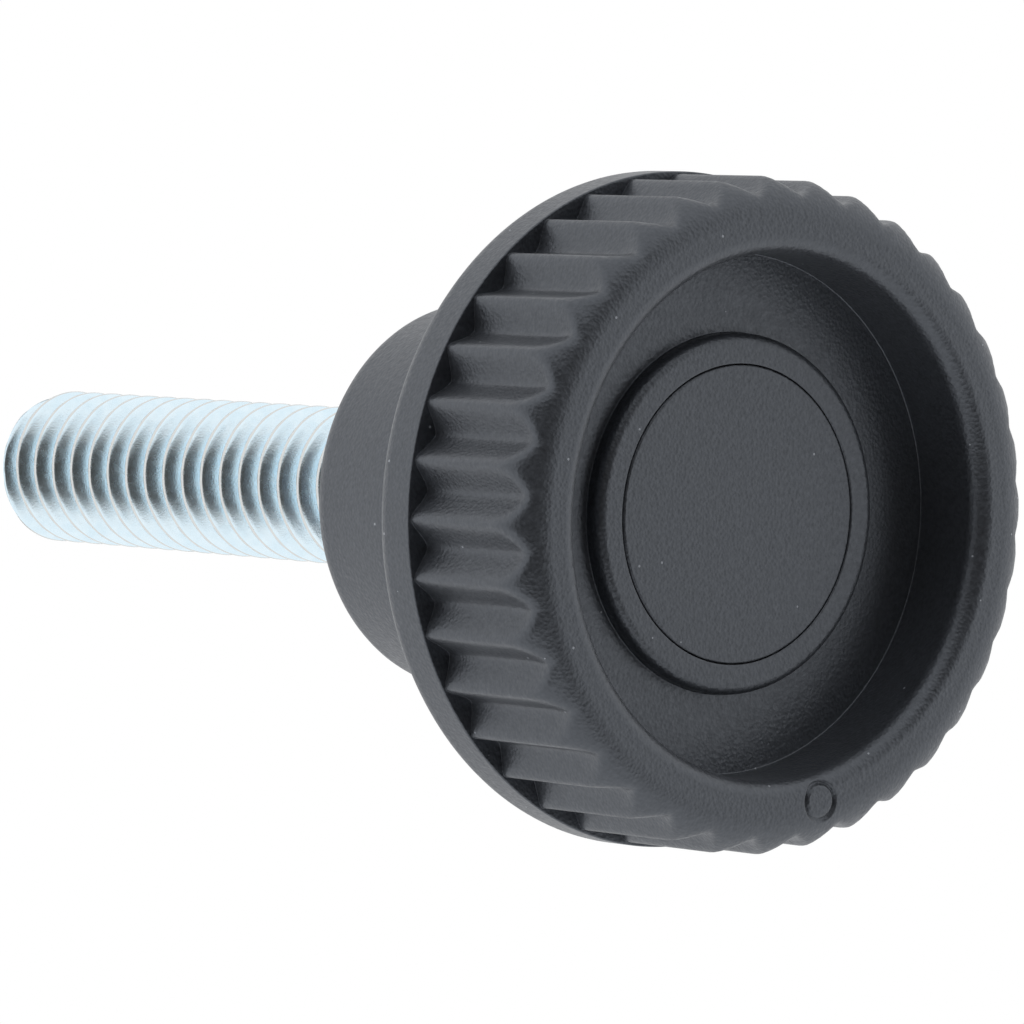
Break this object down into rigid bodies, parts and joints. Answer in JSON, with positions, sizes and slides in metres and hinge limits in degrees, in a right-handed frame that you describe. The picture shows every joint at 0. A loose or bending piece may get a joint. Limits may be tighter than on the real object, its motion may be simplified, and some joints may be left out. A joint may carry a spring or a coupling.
{
  "type": "knurled thumb screw",
  "caption": "Thumb screw with a black moulded knob, V-grooved grip, thin flange, tapered hub, recessed face with a centre cap, and a zinc-plated threaded stud.",
  "frame": {"origin": "centre of the knob's rim face, which stands on the bench", "axes": "+Z along the stud's axis, from the knob's face towards the stud's free end; +X through a crest of the grip"},
  "size_m": [0.0254, 0.0254, 0.0462],
  "materials": {
    "black_plastic": "matt, finely textured moulding",
    "cap_plastic": "matt, finely textured moulding",
    "zinc_plate": "bright zinc plate with a faint blue tint"
  },
  "bodies": {
    "root": {"knob": "black_plastic", "threaded_stud": "zinc_plate", "centre_cap": "cap_plastic"}
  },
  "joints": []
}
